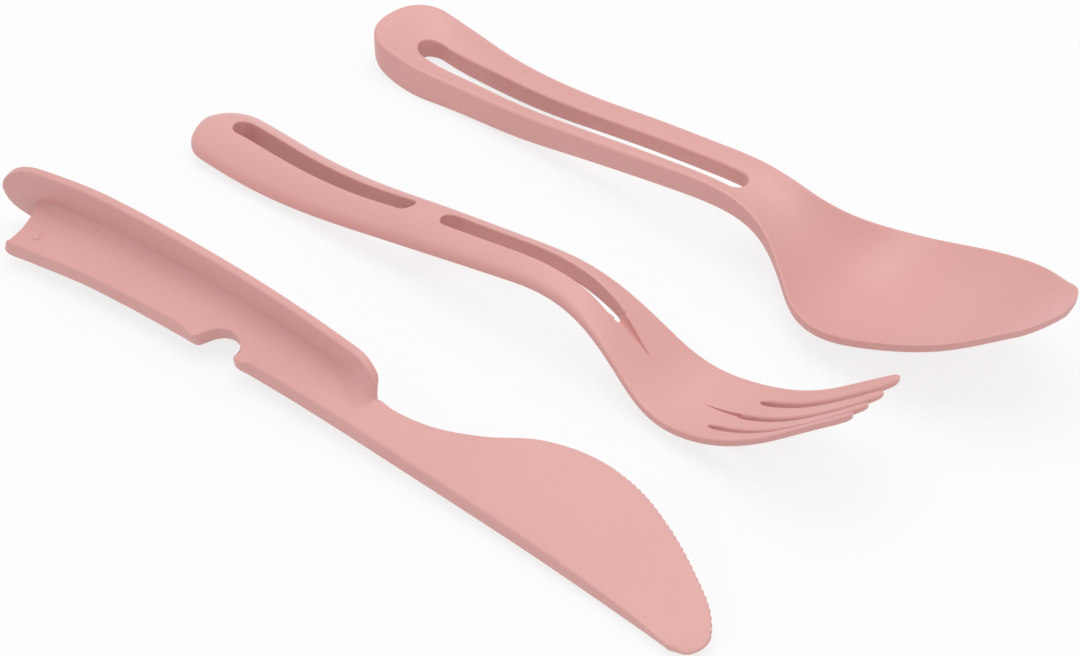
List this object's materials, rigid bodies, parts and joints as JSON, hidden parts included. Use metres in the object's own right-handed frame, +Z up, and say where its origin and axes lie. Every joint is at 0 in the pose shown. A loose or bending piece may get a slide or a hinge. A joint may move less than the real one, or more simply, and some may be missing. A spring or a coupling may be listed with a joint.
{
  "type": "plastic cutlery set",
  "caption": "Travel set of moulded plastic cutlery that nests together: spoon with an open loop handle, slotted fork and serrated knife with a flanged handle, lying side by side.",
  "frame": {"origin": "centre of the set's footprint, on the table that the pieces lie on", "axes": "+X along the pieces from their handle ends to the bowl, tines and blade tip, +Y from the knife across the fork to the spoon, +Z up from the table"},
  "size_m": [0.2256, 0.1432, 0.0287],
  "materials": {
    "pink_plastic": "satin"
  },
  "bodies": {
    "root": {"spoon": "pink_plastic", "fork": "pink_plastic", "knife": "pink_plastic"}
  },
  "joints": []
}
